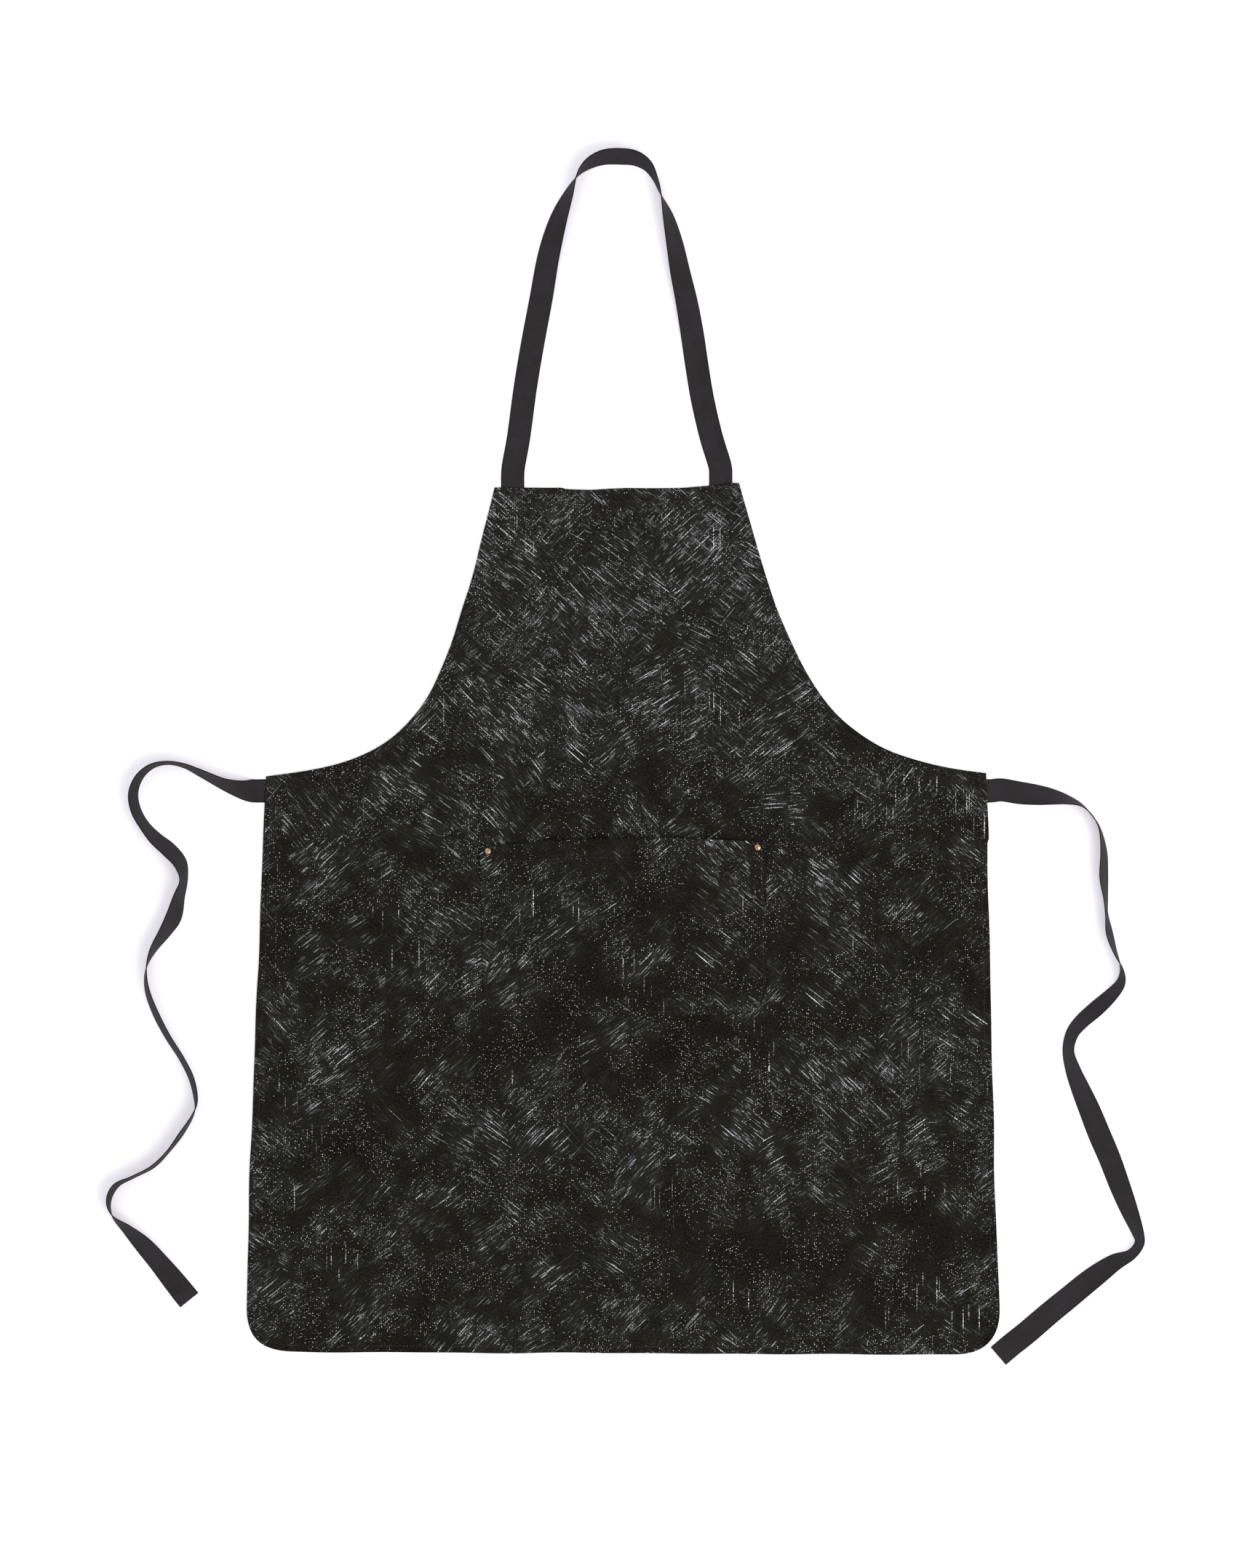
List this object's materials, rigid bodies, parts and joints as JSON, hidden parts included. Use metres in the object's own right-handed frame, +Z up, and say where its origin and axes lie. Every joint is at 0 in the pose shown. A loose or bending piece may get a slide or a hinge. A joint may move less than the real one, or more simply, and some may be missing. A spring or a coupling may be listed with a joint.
{
  "type": "artist smock apron",
  "caption": "Bib apron of printed dark canvas lying flat, with a looped neck strap, long waist ties and one wide riveted front pocket.",
  "frame": {"origin": "middle of the bib's turned hem, on the surface the apron lies on with its front up", "axes": "+X to the viewer's right across the bib, +Y from the bib towards the neck strap's loop, +Z up out of the apron's front"},
  "size_m": [1.1086, 1.3024, 0.025],
  "materials": {
    "printed_canvas": "matt cotton canvas with a dry-brush print",
    "twill_tape": "matt woven cotton tape",
    "sewing_thread": "matt spun thread",
    "rivet_copper": "aged copper, satin"
  },
  "bodies": {
    "apron": {"bib_stitching": "sewing_thread", "body_panel": "printed_canvas", "bottom_hem": "printed_canvas", "left_armhole_hem": "printed_canvas", "left_armhole_stitching": "sewing_thread", "left_bib_hem": "printed_canvas", "left_rivet_back": "rivet_copper", "left_rivet_cap": "rivet_copper", "left_side_hem": "printed_canvas", "left_strap_end": "twill_tape", "left_strap_tack": "sewing_thread", "left_tie": "twill_tape", "left_tie_tack": "sewing_thread", "left_tip_stitching": "sewing_thread", "middle_bib_hem": "printed_canvas", "pocket_hem": "printed_canvas", "pocket_mouth_stitching": "sewing_thread", "pocket_panel": "printed_canvas", "pocket_stitching": "sewing_thread", "right_armhole_hem": "printed_canvas", "right_armhole_stitching": "sewing_thread", "right_bib_hem": "printed_canvas", "right_rivet_back": "rivet_copper", "right_rivet_cap": "rivet_copper", "right_side_hem": "printed_canvas", "right_strap_end": "twill_tape", "right_strap_tack": "sewing_thread", "right_tie": "twill_tape", "right_tie_tack": "sewing_thread", "right_tip_stitching": "sewing_thread", "skirt_stitching": "sewing_thread"},
    "neck_strap": {"neck_strap": "twill_tape"}
  },
  "joints": [
    {"name": "neck_strap_fold", "type": "hinge", "parent": "apron", "child": "neck_strap", "pos_m": [-0.0065, 0.011, 0.0027], "axis": [1, 0, 0], "range_deg": [0, 170]}
  ]
}
